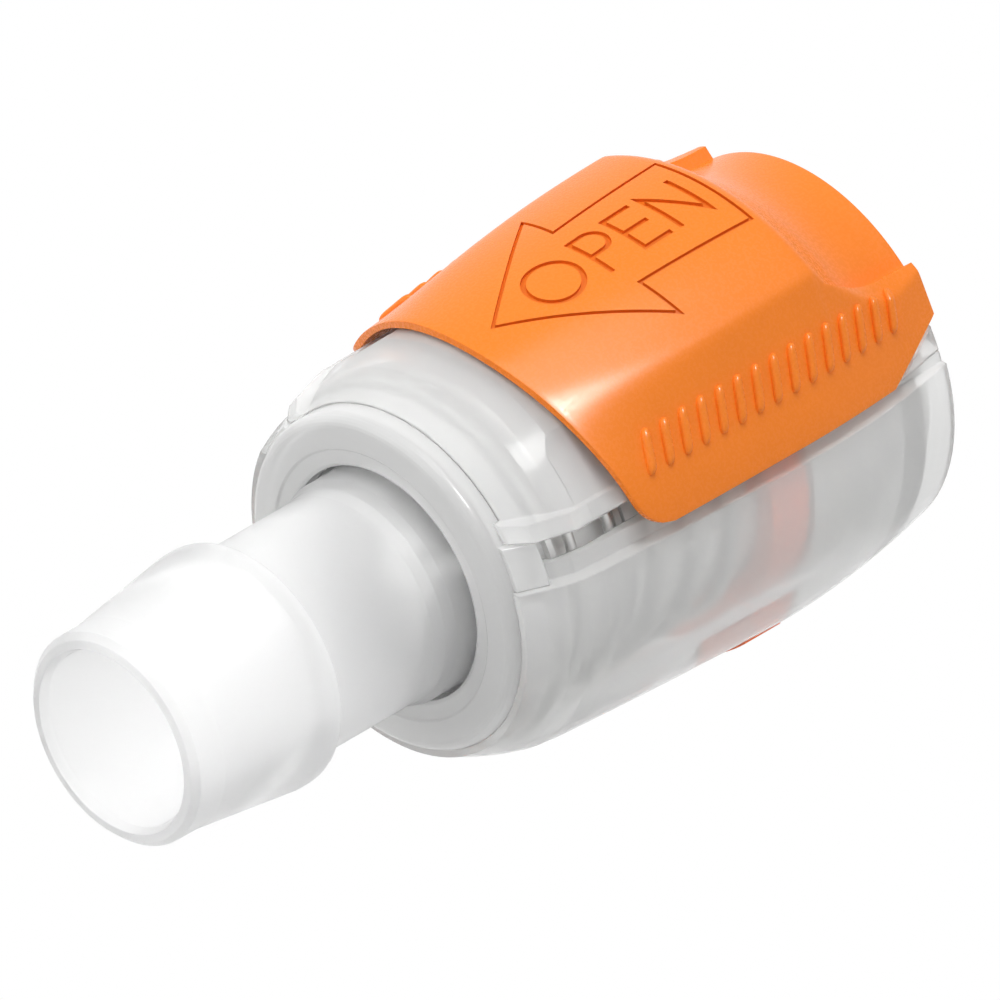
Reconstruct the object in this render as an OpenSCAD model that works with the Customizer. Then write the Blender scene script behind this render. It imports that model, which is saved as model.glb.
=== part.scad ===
// Valved quick coupling, female half, with a sliding thumb latch.
// X runs along the flow from the hose barb (-X) to the socket mouth (X = 0).
// Z points up through the latch. All sizes are millimetres.

/* [Hose barb] */
// Radius of the barb's largest ring
barb_r = 11.05; // [9:0.05:12.5]
// Radius of the neck behind the barb
neck_r = 9.65; // [8.8:0.05:10]
// Radius of the flow bore
flow_r = 8; // [6:0.1:8.4]
// Place of the barb's tip along the flow axis
tip_x = -81; // [-90:0.5:-76]
// Length of the straight lead between the tip and the ramp
lead_len = 3.5; // [2:0.1:5]
// Wall of that lead round the flow bore
lead_wall = 1.65; // [1.3:0.05:1.9]
// Length of the barb's ramp
ramp_len = 10.6; // [8:0.1:12]
// Length of the straight ring at the top of the ramp
land_len = 2.4; // [1:0.1:3]
// Rounding of the ring's rear edge
ring_fillet = 1.4; // [0.6:0.1:1.5]
// Radius of the shoulder that fills the collar's opening
shoulder_r = 10.2; // [9.9:0.05:10.3]

/* [Housing] */
// Largest outer radius of the lower shell
belly_r = 19.1; // [18.6:0.05:19.6]
// Place of that largest radius
belly_x = -17; // [-20:0.5:-14]
// How much smaller that radius is at the mouth
mouth_drop = 1.77; // [1.4:0.01:2]
// How much smaller that radius is at the front rim
front_drop = 3.2; // [2.8:0.05:3.4]
// Wall of the lower shell where it is thickest
shell_wall = 2.7; // [2.5:0.05:2.9]
// How far the upper shell lies below that radius, under the latch
upper_drop = 1.2; // [1.1:0.05:1.5]
// Height of the lower shell's edge along the slot
slot_low_z = 7; // [6.8:0.1:7.6]
// Height of the upper shell's edge along the slot
slot_high_z = 9.3; // [9.1:0.05:9.8]
// Height of the flange along that edge
flange_tall = 1.3; // [0.8:0.1:1.6]
// Height of the line where the lower shell's ledge starts
ledge_z = 5.65; // [5.2:0.05:6.4]
// Depth of that ledge at its front
ledge_depth = 1.2; // [1:0.05:1.3]
// How much deeper the ledge is at its rear
ledge_fall = 0.6; // [0.5:0.05:0.8]
// Height of the seam between the shells behind the slot
seam_z = 6.6; // [6:0.1:7]

/* [Latch] */
// Height of the deck's rear crest over the housing
crest_rise = 2.3; // [1.8:0.05:2.5]
// How far the front lip lies below the housing's largest radius
lip_drop = 0.3; // [0:0.05:0.4]
// Place of the front lip at the middle
lip_x = -39.3; // [-40:0.1:-38]
// Place of the deck's rear crest
crest_x = -10.9; // [-12:0.1:-10]
// Rear end of the latch
latch_rear_x = 0.5; // [0:0.1:1]
// How far the thumb scoop lies below the housing's largest radius
scoop_drop = 2.45; // [2.2:0.05:2.5]
// How far the skirts stand proud of the housing
skirt_rise = 0.25; // [0.2:0.05:0.5]
// Angle from the top to the crease between deck and skirt
crease_deg = 35.5; // [33:0.5:38]
// How much further down the ears' top edge lies at the rear
ear_turn = 6; // [4:0.5:7]
// How far the ears stand over the thumb scoop
ear_rise = 0.6; // [0.4:0.05:0.7]
// How much further out the deck lies at the crease than at the middle
deck_flat = 0.4; // [0.2:0.05:0.5]
// Angle from the top to the skirt's lower edge
skirt_deg = 68.5; // [66:0.5:69]
// Wall of the latch
latch_wall = 1.1; // [1:0.05:1.3]
// How far the latch slides towards the barb to open
latch_travel = 6; // [4:0.5:6.5]

/* [Valve] */
// Wall of the valve body round its chamber
body_wall = 2.7; // [2.4:0.05:2.9]
// Room round the poppet's head
head_gap = 1.9; // [1.6:0.05:2.2]
// How far the valve seat closes in under the poppet's head
seat_lip = 1; // [0.8:0.05:1.3]
// Radius of the poppet's stem
stem_r = 2; // [1.5:0.1:2.4]
// Running clearance of the stem in its guide
stem_gap = 0.05; // [0.02:0.01:0.1]

/* [Socket] */
// Depth of the seal's pocket from the plug's bore
seal_depth = 1.7; // [1.6:0.05:1.8]
// Wall of the guide ring at the mouth
guide_wall = 1.7; // [1.5:0.05:1.9]
// Wall of the collet's fingers
collet_wall = 0.75; // [0.65:0.05:0.9]
// Wall of the lock ring
ring_wall = 1.6; // [1.4:0.05:1.8]
// Number of collet fingers
finger_count = 8; // [6:1:10]

/* [Springs] */
// Wire radius of the latch spring
latch_wire_r = 0.48; // [0.4:0.01:0.5]
// Turns of the latch spring
latch_turns = 5; // [4:0.5:6]
// Mean coil radius of the poppet spring
poppet_coil_r = 4.2; // [4:0.05:4.6]
// Wire radius of the poppet spring
poppet_wire_r = 0.35; // [0.3:0.01:0.4]
// Turns of the poppet spring
poppet_turns = 4.5; // [3.5:0.5:5]

/* [Hidden] */
$fn = 96;

// Stations along the flow axis, front to rear
lead_end_x = tip_x + lead_len;
ramp_end_x = lead_end_x + ramp_len;
barb_back_x = ramp_end_x + land_len;
collar_x = -49.5;
flange_x = collar_x + 2;
body_front_x = flange_x + 1.5;
collar_rear_x = body_front_x + 2;
seat_x = -33.4;
groove_x = -27;
body_rear_x = -22;
ring_x = -20.6;
ring_len = 4.2;
stop_x = ring_x + ring_len + 0.4;
stop_len = 3.7;
key_rear_x = collar_x + 4;
rim_x = collar_x + 1;
nose_x = collar_x + 7.5;
slot_rear_x = stop_x + 0.8;
guide_front_x = stop_x + 2.4;
clip_x = seat_x - 1.9;
collet_front_x = seat_x - 1;
poppet_back_x = seat_x - 2.2;
poppet_nose_x = seat_x + 4.4;

// Clearances
slide_gap = 0.25;
ring_gap = 0.3;
finger_gap = 0.15;
seat_gap = 0.05;

// Radii that mate, from the housing inwards
mouth_r = belly_r - mouth_drop;
front_rim_r = belly_r - front_drop;
upper_r = belly_r - upper_drop;
shell_in_r = belly_r - shell_wall;
ring_r = shell_in_r - ring_gap;
ring_in_r = ring_r - ring_wall;
collet_r = ring_in_r - finger_gap;
body_r = collet_r - collet_wall;
guide_out_r = body_r + 0.6;
guide_r = guide_out_r - guide_wall;
chamber_r = body_r - body_wall;
poppet_r = chamber_r - head_gap;
seat_r = poppet_r - seat_lip;
seat_cone = chamber_r - seat_r;
pocket_r = body_r - 1.7;
plug_r = pocket_r - seal_depth;
latch_coil_r = collet_r + 0.75;

// Radii of the front collar and of the latch
collar_bore_r = shoulder_r + 0.4;
collar_r = shell_in_r - 1.2;
collar_socket_r = collar_r - 1;
recess_r = collar_bore_r + 0.37 * (collar_r - collar_bore_r);
crest_r = belly_r + crest_rise;
lip_r = belly_r - lip_drop;
scoop_r = belly_r - scoop_drop;
skirt_r = belly_r + skirt_rise;

// Turns a profile of [radius, x] points about the flow axis
module lathe(points) {
    rotate([0, 90, 0])
        rotate_extrude() polygon(points);
}

// A plain ring between two stations
module tube(outer_r, inner_r, x, length) {
    translate([x, 0, 0])
        rotate([0, 90, 0])
            difference() {
                cylinder(r = outer_r, h = length);
                translate([0, 0, -1]) cylinder(r = inner_r, h = length + 2);
            }
}

// An O-ring about the flow axis
module o_ring(mean_r, section_r, x) {
    translate([x, 0, 0])
        rotate([0, 90, 0])
            rotate_extrude()
                translate([mean_r, 0]) circle(r = section_r, $fn = 32);
}

// Points on a quarter round from one angle to another, as [radius, x]
function round_points(cr, cx, r, from, to, steps = 6) =
    [for (i = [0 : steps]) let (a = from + (to - from) * i / steps)
        [cr + r * cos(a), cx + r * sin(a)]];

// Outer radius of the lower shell at a station
function belly(x) =
    x < nose_x
        ? let (b = belly(nose_x))
            b - (b - front_rim_r) * pow((nose_x - x) / (nose_x - rim_x), 1.4)
        : x < belly_x
            ? belly_r - 1.22 * pow((belly_x - x) / 27, 1.3)
            : belly_r - (belly_r - mouth_r) * pow((x - belly_x) / -belly_x, 2);

// A wire coil about the flow axis between two stations
module coil(mean_r, wire_r, x0, x1, turns, phase = 0) {
    steps = round(turns * 28);
    sides = 8;
    pitch_deg = atan((x1 - x0) / (turns * 2 * PI * mean_r));
    points = [
        for (i = [0 : steps], j = [0 : sides - 1])
            let (
                a = phase + 360 * turns * i / steps,
                w = 360 * j / sides,
                x = x0 + (x1 - x0) * i / steps,
                r = mean_r + wire_r * cos(w)
            )
            [
                x + wire_r * sin(w) * cos(pitch_deg),
                r * sin(a) - wire_r * sin(w) * sin(pitch_deg) * cos(a),
                r * cos(a) + wire_r * sin(w) * sin(pitch_deg) * sin(a)
            ]
    ];
    walls = [
        for (i = [0 : steps - 1], j = [0 : sides - 1])
            let (k = (j + 1) % sides)
            [i * sides + j, (i + 1) * sides + j, (i + 1) * sides + k, i * sides + k]
    ];
    caps = [
        [for (j = [0 : sides - 1]) j],
        [for (j = [sides - 1 : -1 : 0]) steps * sides + j]
    ];
    polyhedron(points, concat(walls, caps));
}

module hose_barb() {
    lead_r = flow_r + lead_wall;
    rounding = min(ring_fillet, (barb_r - flow_r) / 2);
    color("whitesmoke")
        lathe(concat(
            [
                [flow_r, tip_x + 0.8],
                [flow_r + 0.35, tip_x],
                [lead_r - 0.55, tip_x + 0.1],
                [lead_r, tip_x + 0.7],
                [lead_r + 0.05, lead_end_x],
                [barb_r, ramp_end_x],
                [barb_r, barb_back_x - rounding]
            ],
            round_points(barb_r - rounding, barb_back_x - rounding, rounding, 15, 90),
            [
                [neck_r, barb_back_x],
                [neck_r, collar_x - 3.6],
                [neck_r + 0.15, collar_x - 2.4],
                [shoulder_r, collar_x - 1.4],
                [shoulder_r, flange_x],
                [collar_socket_r - 0.4, flange_x],
                [collar_socket_r - 0.4, body_front_x],
                [flow_r + 0.6, body_front_x],
                [flow_r, body_front_x - 0.6]
            ]
        ));
}

module barb_seal() {
    color("dimgray") o_ring(body_r - 0.85, 0.62, body_front_x + 0.62);
}

module front_collar() {
    color("lightgray")
        union() {
            lathe(concat(
                [
                    [collar_bore_r, flange_x],
                    [collar_bore_r, collar_x + 0.45],
                    [collar_bore_r + 0.3, collar_x + 0.3],
                    [recess_r - 0.2, collar_x + 0.15],
                    [recess_r, collar_x]
                ],
                round_points(collar_r - 1.1, collar_x + 1.1, 1.1, -90, 0),
                [
                    [collar_r, collar_rear_x],
                    [collar_socket_r, collar_rear_x],
                    [collar_socket_r, flange_x]
                ]
            ));
            // Keys that fill the slot's front end on each side
            for (side = [0, 1])
                mirror([0, side, 0])
                    intersection() {
                        lathe([
                            [collar_r - 0.6, collar_x + 1.3],
                            [collar_r + 0.3, collar_x + 1.3],
                            [belly(key_rear_x) - 0.5, key_rear_x],
                            [collar_r - 0.6, key_rear_x]
                        ]);
                        translate([collar_x, 8, ledge_z + 0.05])
                            cube([8, 12, slot_high_z - ledge_z - 0.3]);
                    }
        }
}

module valve_body() {
    color("lightgray")
        difference() {
            lathe([
                [chamber_r + 0.5, body_front_x],
                [collar_socket_r, body_front_x],
                [collar_socket_r, body_front_x + 2],
                [body_r, body_front_x + 2],
                [body_r, body_rear_x],
                [pocket_r, body_rear_x],
                [pocket_r, groove_x],
                [plug_r, groove_x],
                [plug_r, seat_x + seat_cone + 2.2],
                [seat_r, seat_x + seat_cone + 2.2],
                [seat_r, seat_x + seat_cone],
                [chamber_r, seat_x],
                [chamber_r, body_front_x + 1.6],
                [chamber_r + 0.5, body_front_x + 1.6]
            ]);
            // Face groove of the barb's O-ring
            tube(body_r - 0.1, body_r - 1.6, body_front_x - 1, 1 + 1.24);
            // Groove of the collet's clip
            tube(body_r + 1, body_r - 0.5, clip_x, 0.8);
        }
}

module poppet_guide() {
    color("gainsboro")
        union() {
            tube(chamber_r + 0.5 - seat_gap, chamber_r - 1.2, body_front_x, 1.6 - seat_gap);
            tube(3.2, stem_r + stem_gap, body_front_x - 0.4, 3.6);
            for (i = [0 : 2])
                rotate([60 + 120 * i, 0, 0])
                    translate([body_front_x, -0.8, 3])
                        cube([1.6 - seat_gap, 1.6, chamber_r - 3.9]);
        }
}

module poppet() {
    color("gainsboro")
        difference() {
            lathe([
                [0, body_front_x - 1.4],
                [stem_r - 0.4, body_front_x - 1.4],
                [stem_r, body_front_x - 1],
                [stem_r, poppet_back_x - 1],
                [3.2, poppet_back_x - 1],
                [3.2, poppet_back_x],
                [poppet_r - 0.4, poppet_back_x],
                [poppet_r, poppet_back_x + 0.5],
                [poppet_r, poppet_back_x + 2.8],
                [poppet_r - 2.4, poppet_back_x + 5.2],
                [poppet_r - 2.4, poppet_nose_x - 0.5],
                [poppet_r - 2.9, poppet_nose_x],
                [0, poppet_nose_x]
            ]);
            o_ring(poppet_r - 0.75, 0.74, poppet_back_x + 3.5);
        }
}

module poppet_seal() {
    color("dimgray") o_ring(poppet_r - 0.75, 0.74, poppet_back_x + 3.5);
}

module poppet_spring() {
    color("silver")
        coil(poppet_coil_r, poppet_wire_r, body_front_x + 1.55 + poppet_wire_r + 0.05,
             poppet_back_x - poppet_wire_r - 0.05, poppet_turns);
}

module socket_seal() {
    color("dimgray") o_ring(pocket_r - 0.96, 0.94, groove_x + 1.75);
}

module backup_ring() {
    color("white") tube(pocket_r - seat_gap, plug_r + 0.15, groove_x, 0.75);
}

module seal_retainer() {
    color("gainsboro") tube(pocket_r, plug_r + 0.1, groove_x + 2.75, 2.05);
}

module collet() {
    head_x = ring_x + 0.5;
    color("whitesmoke")
        difference() {
            lathe([
                [body_r + 0.02, collet_front_x],
                [collet_r, collet_front_x],
                [collet_r, head_x + 3.2],
                [collet_r - 0.6, head_x + 3.7],
                [body_r - 1.4, head_x + 3.7],
                [body_r - 2.1, head_x + 2.7],
                [body_r - 2.1, head_x + 1.2],
                [body_r - 1.2, head_x],
                [body_r + 0.02, head_x - 0.6]
            ]);
            // Slots that part the fingers
            for (i = [0 : finger_count - 1])
                rotate([360 * (i + 0.5) / finger_count, 0, 0])
                    translate([head_x - 9.9, -0.7, body_r - 4]) cube([20, 1.4, 8]);
        }
}

module collet_clip() {
    color("silver")
        difference() {
            tube(body_r + 0.55, body_r - 0.45, clip_x + 0.05, 0.7);
            translate([clip_x - 1, -1.5, -body_r - 2]) cube([3, 3, 4]);
        }
}

module rear_ring() {
    color("gainsboro")
        union() {
            lathe([
                [guide_r, guide_front_x],
                [guide_out_r, guide_front_x],
                [guide_out_r, -0.5],
                [guide_out_r - 0.5, 0],
                [guide_r, 0]
            ]);
            // Half flange that the lock ring stops against
            intersection() {
                tube(shell_in_r - 0.05, guide_r, stop_x, stop_len);
                translate([stop_x - 1, -20, -20]) cube([stop_len + 2, 40, 20 + seam_z - 0.2]);
            }
        }
}

module spring_washer() {
    color("gainsboro") tube(latch_coil_r + 0.7, body_r + 0.1, collar_rear_x + 0.02, 0.6);
}

module latch_spring() {
    color("silver")
        coil(latch_coil_r, latch_wire_r, collar_rear_x + 0.62 + latch_wire_r + 0.05,
             ring_x - latch_wire_r - 0.05, latch_turns, 150);
}

module lock_ring() {
    pad_half = 13.4;
    color("darkorange")
        union() {
            tube(ring_r, ring_in_r, ring_x, ring_len);
            // Legs that pass through the side slots to the latch
            for (side = [0, 1])
                mirror([0, side, 0])
                    intersection() {
                        tube(upper_r + slide_gap - 0.03, ring_r - 0.6, ring_x + 0.3, ring_len - 0.6);
                        translate([ring_x, 10, slot_low_z + 0.15])
                            cube([ring_len, 12, slot_high_z - slot_low_z - 0.3]);
                    }
            // Pad that fills the window in the lower shell
            intersection() {
                tube(belly(ring_x) + 0.15, ring_r - 0.6, ring_x, ring_len);
                translate([ring_x - 1, -pad_half, -22]) cube([ring_len + 2, 2 * pad_half, 14]);
            }
        }
}

// A rounded minimum of two radii
function soft_min(p, q, k) = -ln(exp(-k * (p - 20)) + exp(-k * (q - 20))) / k + 20;

// Outer radius of the latch along the middle of its top: the deck rolls over into the thumb scoop
function deck(x) =
    let (rise = crest_r - (crest_r - lip_r) * pow(max(0, crest_x - x) / (crest_x - lip_x), 2.2),
         run = min(1, (x - crest_x) / (latch_rear_x - crest_x)))
    soft_min(rise, scoop_r + (crest_r - scoop_r) * pow(1 - run, 2.7), 3.5);

// Outer radius of the latch's skirts, which follow the shell
function skirt(x) =
    x < belly_x
        ? skirt_r - 0.5 * pow((belly_x - x) / 22, 1.6)
        : skirt_r - 2.1 * pow((x - belly_x) / (latch_rear_x - belly_x), 1.7);

// Radius of the skirt's flat side at an angle from the top
function flank(x, a) =
    let (c = min(x, crest_x),
         tangent = crease_deg + acos(skirt(c) / max(deck(c), skirt(c) + 0.01)))
    skirt(x) / cos(max(tangent - a, 0));

// Angle from the top to the crease, and behind the crest to the ears' top edge
function edge_deg(x) =
    let (t = max(0, min(1, (x - crest_x) / 8)))
    crease_deg + ear_turn * (1 - (1 - t) * (1 - t));

// Outer radius of the latch at a station and an angle from the top, with the ears risen by a share
function latch_out(x, a, share = 1) =
    let (run = max(0, min(1, (x - lip_x) / (crest_x - lip_x))),
         bulge = deck_flat * run * pow(abs(a) / crease_deg, 2),
         out = abs(a) - edge_deg(x),
         rise = ear_rise * min(1, max(0, x - crest_x) / 3) * (1 + 0.1 * out),
         lift = out > 0 ? share * rise : x > crest_x + 3 ? -bulge : -bulge * max(0, x - crest_x) / 3)
    soft_min(deck(x) + bulge + lift, flank(x, abs(a)), 2 + 14 * run * run);

// Inner radius of the latch: it clears the shell, and it leaves the ears solid beside the scoop
function latch_in(x, a) =
    x < crest_x - 3
        ? max(upper_r + slide_gap, latch_out(x, a) - 1.6)
        : latch_out(x, a, min(1, max(0, abs(a) - edge_deg(x)) / 5)) - latch_wall;

// Front edge of the latch: a shallow arc in plan with a rounded lower corner
function latch_front(a) =
    let (y = lip_r * sin(a), t = max(0, (abs(a) - skirt_deg + 9) / 9))
    lip_x + 43 - sqrt(43 * 43 - y * y) + 2.6 * (1 - sqrt(max(0, 1 - t * t)));

// Rear edge of the latch: square behind the ears, then cut forward
function latch_rear(a) =
    latch_rear_x - 7.2 * max(0, (abs(a) - 57) / (skirt_deg - 57));

module latch() {
    rows = [-22 : 22];
    // Rows on the deck end just inside the crease, and the skirts' rows start just outside it
    function row_deg(j, edge) =
        sign(j) * (abs(j) < 13
            ? (edge - 0.2) * abs(j) / 12
            : edge + 0.2 + (skirt_deg - edge - 0.2) * (abs(j) - 13) / 9);
    front_n = 14;
    rear_n = 12;
    n = front_n + rear_n;
    m = len([for (j = rows) j]);
    function station(i, j) =
        let (start = latch_front(row_deg(j, crease_deg)),
             end = latch_rear(row_deg(j, crease_deg + ear_turn)))
        i <= front_n
            ? start + (crest_x - start) * pow(i / front_n, 0.9)
            : crest_x + (end - crest_x) * pow((i - front_n) / rear_n, 1.3);
    outer = [
        for (j = rows, i = [0 : n])
            let (x = station(i, j),
                 a = row_deg(j, edge_deg(x)),
                 r = latch_out(x, a) - (i == 0 ? 0.25 : 0))
            [x, r * sin(a), r * cos(a)]
    ];
    inner = [
        for (j = rows, i = [0 : n])
            let (x = station(i, j),
                 a = row_deg(j, edge_deg(x)),
                 r = latch_in(x, a))
            [x, r * sin(a), r * cos(a)]
    ];
    s = n + 1;
    o = m * s;
    faces = concat(
        [for (j = [0 : m - 2], i = [0 : n - 1]) let (p = j * s + i)
            each [[p, p + s + 1, p + 1], [p, p + s, p + s + 1]]],
        [for (j = [0 : m - 2], i = [0 : n - 1]) let (p = o + j * s + i)
            each [[p, p + 1, p + s + 1], [p, p + s + 1, p + s]]],
        [for (j = [0 : m - 2]) let (p = j * s)
            each [[p, o + p + s, p + s], [p, o + p, o + p + s]]],
        [for (j = [0 : m - 2]) let (p = j * s + n)
            each [[p, p + s, o + p + s], [p, o + p + s, o + p]]],
        [for (i = [0 : n - 1])
            each [[i, i + 1, o + i + 1], [i, o + i + 1, o + i]]],
        [for (i = [0 : n - 1]) let (p = (m - 1) * s + i)
            each [[p, o + p + 1, p + 1], [p, o + p, o + p + 1]]]
    );
    color("darkorange") polyhedron(concat(outer, inner), faces);
}

// Outer radius of the upper shell where the latch runs over it
upper_profile = concat(
    [
        [collar_r + 0.1, collar_x + 2.5],
        [upper_r - 1, collar_x + 6.2],
        [upper_r, collar_x + 9.5],
        [upper_r, stop_x - 1.2]
    ],
    [
        [upper_r - 1, stop_x + 2.5],
        [upper_r - 1.8, stop_x + 4.6],
        [upper_r - 2.6, stop_x + 9.6],
        [upper_r - 2.75, 0]
    ]
);

module upper_shell() {
    color("lightgray")
        difference() {
            union() {
                lathe(concat(
                    upper_profile,
                    [
                        [guide_out_r + 0.05, 0],
                        [guide_out_r + 0.05, stop_x + 5],
                        [shell_in_r - 0.7, guide_front_x],
                        [shell_in_r, stop_x - 0.4],
                        [shell_in_r, collar_rear_x],
                        [collar_r, collar_rear_x - 0.6]
                    ]
                ));
                // Flange along the slot, flush with the lower shell
                intersection() {
                    lathe([
                        [collar_r + 0.1, rim_x + 0.9],
                        [front_rim_r - 0.1, rim_x + 1],
                        [upper_r - 1, rim_x + 2.6],
                        [upper_r - 0.65, rim_x + 4],
                        [upper_r - 0.02, rim_x + 6.5],
                        [upper_r - 0.02, -25],
                        [shell_in_r, -25],
                        [shell_in_r, collar_rear_x],
                        [collar_r + 0.1, collar_rear_x - 0.6]
                    ]);
                    translate([-60, -30, slot_high_z - 1]) cube([60, 60, flange_tall + 1]);
                }
                // Wings behind the skirts
                intersection() {
                    shell_band(-7, 0, guide_out_r + 0.05, 0.5);
                    difference() {
                        translate([-7, -20, seam_z - 1]) cube([8, 40, 4]);
                        for (side = [0, 1])
                            mirror([0, side, 0])
                                translate([-6.6, 0, seam_z - 0.5])
                                    rotate([0, -19.9, 0])
                                        translate([-10, 10, 0]) cube([24, 12, 12]);
                    }
                }
            }
            translate([-60, -30, -30]) cube([60 + slot_rear_x, 60, 30 + slot_high_z]);
            translate([slot_rear_x - 1, -30, -30]) cube([30, 60, 30 + seam_z]);
            // Side flats above the flange
            for (side = [0, 1])
                mirror([0, side, 0])
                    rotate([-46, 0, 0])
                        intersection() {
                            translate([collar_x + 8.5, -10, upper_r - 0.5]) cube([24, 20, 5]);
                            rotate([46, 0, 0])
                                translate([-60, 0, slot_high_z + flange_tall]) cube([60, 30, 30]);
                        }
        }
}

// A band that lies a given depth below the lower shell's outer form between two stations
module shell_band(x0, x1, inner_r, depth) {
    steps = 8;
    lathe(concat(
        [for (i = [0 : steps]) let (x = x0 + (x1 - x0) * i / steps) [belly(x) - depth, x]],
        [[inner_r, x1], [inner_r, x0]]
    ));
}

module lower_shell() {
    steps = 26;
    color("lightgray")
        difference() {
            lathe(concat(
                [for (i = [0 : steps]) let (x = rim_x * (1 - i / steps)) [belly(x), x]],
                [
                    [mouth_r - 0.85, 0],
                    [mouth_r - 0.95, -3],
                    [guide_out_r + 0.05, -3],
                    [guide_out_r + 0.05, -4.2],
                    [shell_in_r, -5.6],
                    [shell_in_r, collar_rear_x + 3],
                    [shell_in_r - 0.45, collar_rear_x],
                    [collar_r + 0.02, collar_rear_x - 1],
                    [collar_r + 0.02, rim_x]
                ]
            ));
            // Ledge for the skirts
            difference() {
                translate([-60, -30, ledge_z]) cube([61, 60, 30]);
                ledge_core();
            }
            translate([-60, -30, ledge_z]) cube([60.1 + key_rear_x, 60, 30]);
            translate([-60, -30, slot_low_z]) cube([60 + slot_rear_x, 60, 30]);
            translate([slot_rear_x - 1, -30, seam_z - 0.15]) cube([30, 60, 30]);
            // Window for the lock ring's pad over its whole travel
            translate([ring_x - latch_travel - 0.4, -13.7, -30])
                cube([ring_len + latch_travel + 0.8, 27.4, 22]);
        }
}

// Solid inside the ledge
module ledge_core() {
    steps = 16;
    front_x = rim_x - 0.5;
    rear_x = 1.5;
    lathe(concat(
        [[0, front_x]],
        [for (i = [0 : steps])
            let (x = front_x + (rear_x - front_x) * i / steps,
                 fall = ledge_fall * max(0, min(1, (x + 34) / 20)),
                 rise = 1.3 * max(0, x + 8) / 8)
            [belly(max(x, rim_x)) - ledge_depth - fall + rise, x]],
        [[0, rear_x]]
    ));
}

hose_barb();
barb_seal();
front_collar();
valve_body();
poppet_guide();
poppet();
poppet_seal();
poppet_spring();
socket_seal();
backup_ring();
seal_retainer();
collet();
collet_clip();
rear_ring();
spring_washer();
latch_spring();
lock_ring();
latch();
upper_shell();
lower_shell();
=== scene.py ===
import math

import bmesh
import bpy
from bpy.props import FloatProperty, FloatVectorProperty, IntProperty, PointerProperty
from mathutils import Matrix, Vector


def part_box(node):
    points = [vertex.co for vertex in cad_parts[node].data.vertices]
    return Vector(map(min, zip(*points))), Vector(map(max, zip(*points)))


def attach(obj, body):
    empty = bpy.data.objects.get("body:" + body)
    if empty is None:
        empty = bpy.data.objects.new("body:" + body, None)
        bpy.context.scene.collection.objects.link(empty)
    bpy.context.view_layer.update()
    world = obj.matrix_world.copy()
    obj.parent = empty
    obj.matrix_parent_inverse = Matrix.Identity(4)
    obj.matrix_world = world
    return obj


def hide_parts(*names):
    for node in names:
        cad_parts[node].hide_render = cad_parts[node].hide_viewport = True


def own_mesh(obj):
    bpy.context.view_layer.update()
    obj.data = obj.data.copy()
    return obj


bl_info = {
    "name": "Valved quick coupling",
    "version": (1, 0, 0),
    "blender": (4, 5, 0),
    "location": "View3D > Sidebar > Coupling",
    "description": "Dresses the coupling's frame with its latch, shells, barb, springs and studio",
    "category": "Add Mesh",
}

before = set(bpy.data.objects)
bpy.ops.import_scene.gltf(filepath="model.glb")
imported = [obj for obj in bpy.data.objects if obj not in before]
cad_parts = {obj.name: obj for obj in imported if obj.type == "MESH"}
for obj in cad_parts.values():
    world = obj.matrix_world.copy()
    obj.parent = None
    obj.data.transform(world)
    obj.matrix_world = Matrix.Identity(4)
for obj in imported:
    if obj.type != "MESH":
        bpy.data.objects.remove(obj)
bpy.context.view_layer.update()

MM = 0.001
HOUSING = "housing"
SLIDER = "latch_slider"


# Sizes and colours that a user would change

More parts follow.
